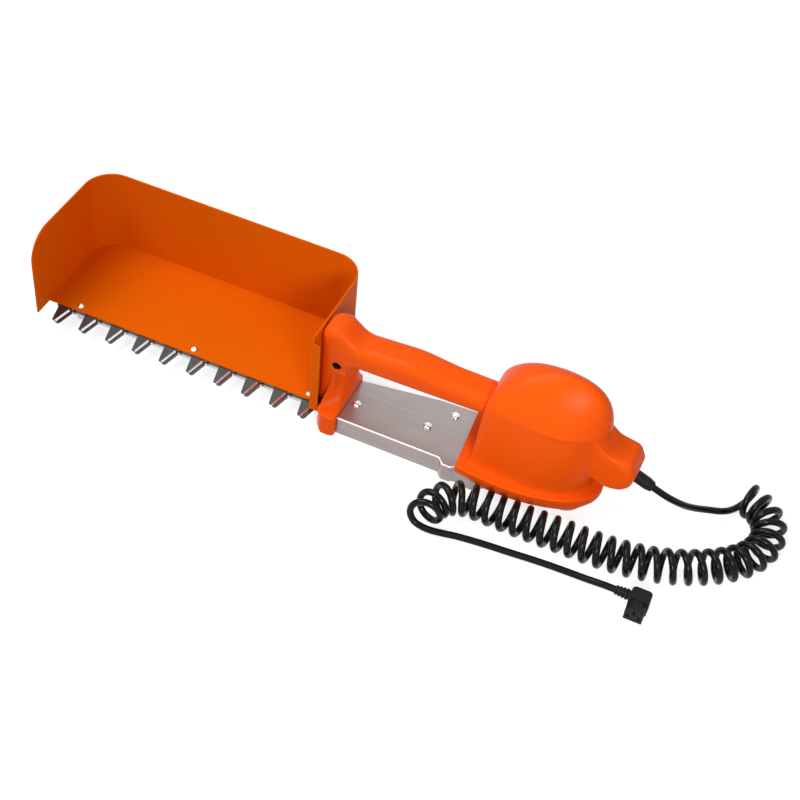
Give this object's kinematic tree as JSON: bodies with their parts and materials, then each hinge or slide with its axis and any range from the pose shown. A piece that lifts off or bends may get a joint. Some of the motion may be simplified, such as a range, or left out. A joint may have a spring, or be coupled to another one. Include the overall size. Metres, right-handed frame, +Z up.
{
  "type": "tea harvester cutter head",
  "caption": "Hand-held tea harvester cutter head: sheet leaf scoop over a reciprocating toothed double blade, moulded handle and motor dome, curly lead with a plug.",
  "frame": {"origin": "on the floor under the middle of the head, measured without its lead and plug", "axes": "+X from the leaf scoop to the motor along the head's length, -Y towards the crop, +Z up"},
  "size_m": [0.7492, 0.1987, 0.1475],
  "materials": {
    "scoop_paint": "gloss orange powder coat",
    "orange_moulding": "soft gloss orange moulding",
    "plate_paint": "satin grey",
    "blade_steel": "ground steel with bright cutting bevels",
    "steel": "machined",
    "bright_screws": "bright plated",
    "bronze": "plain",
    "cord_jacket": "smooth black jacket with a soft shine",
    "plug_plastic": "matte black moulding"
  },
  "bodies": {
    "head": {"scoop_wall": "scoop_paint", "scoop_floor": "scoop_paint", "handle": "orange_moulding", "motor_housing": "orange_moulding", "chassis_plate": "plate_paint", "bottom_cover": "plate_paint", "retaining_bar": "steel", "bar_spacer": "steel", "cover_pillars": "steel", "motor_pillars": "steel", "motor_plate": "steel", "bearing_carrier": "steel", "crank_bearing": "steel", "motor_can": "steel", "blade_screws": "bright_screws", "blade_nuts": "bright_screws", "bar_nut": "bright_screws", "cover_screws": "bright_screws", "plate_screws": "bright_screws", "wall_screws": "bright_screws", "handle_screws": "bright_screws", "housing_screws": "bright_screws", "pillar_screws": "bright_screws", "motor_screws": "bright_screws", "lower_bushing": "bronze", "plug_contacts": "bronze", "cord_sleeve": "cord_jacket", "cord_lead": "cord_jacket", "curly_cord": "cord_jacket", "cord_tail": "cord_jacket", "plug_relief": "cord_jacket", "plug_body": "plug_plastic"},
    "crank": {"crankshaft": "steel", "drive_gear": "steel", "gear_nut": "bright_screws"},
    "rotor": {"motor_shaft": "steel", "pinion": "steel"},
    "upper_cutter": {"upper_blade": "blade_steel"},
    "lower_cutter": {"lower_blade": "blade_steel"}
  },
  "joints": [
    {"name": "crank_turn", "type": "hinge", "parent": "head", "child": "crank", "pos_m": [0.1865, -0.0215, 0.03], "axis": [0, 0, 1], "range_deg": [-90, 90]},
    {"name": "rotor_turn", "type": "hinge", "parent": "head", "child": "rotor", "pos_m": [0.2166, -0.0215, 0.035], "axis": [0, 0, 1], "range_deg": [-380, 380]},
    {"name": "upper_stroke", "type": "slide", "parent": "head", "child": "upper_cutter", "axis": [1, 0, 0], "range_m": [-0.005, 0.005]},
    {"name": "lower_stroke", "type": "slide", "parent": "head", "child": "lower_cutter", "axis": [1, 0, 0], "range_m": [-0.005, 0.005]}
  ],
  "couplings": [
    {"joint": "rotor_turn", "follows": "crank_turn", "ratio": -4},
    {"joint": "upper_stroke", "follows": "crank_turn", "m_per_rad": -0.0031831},
    {"joint": "lower_stroke", "follows": "crank_turn", "m_per_rad": 0.0031831}
  ]
}
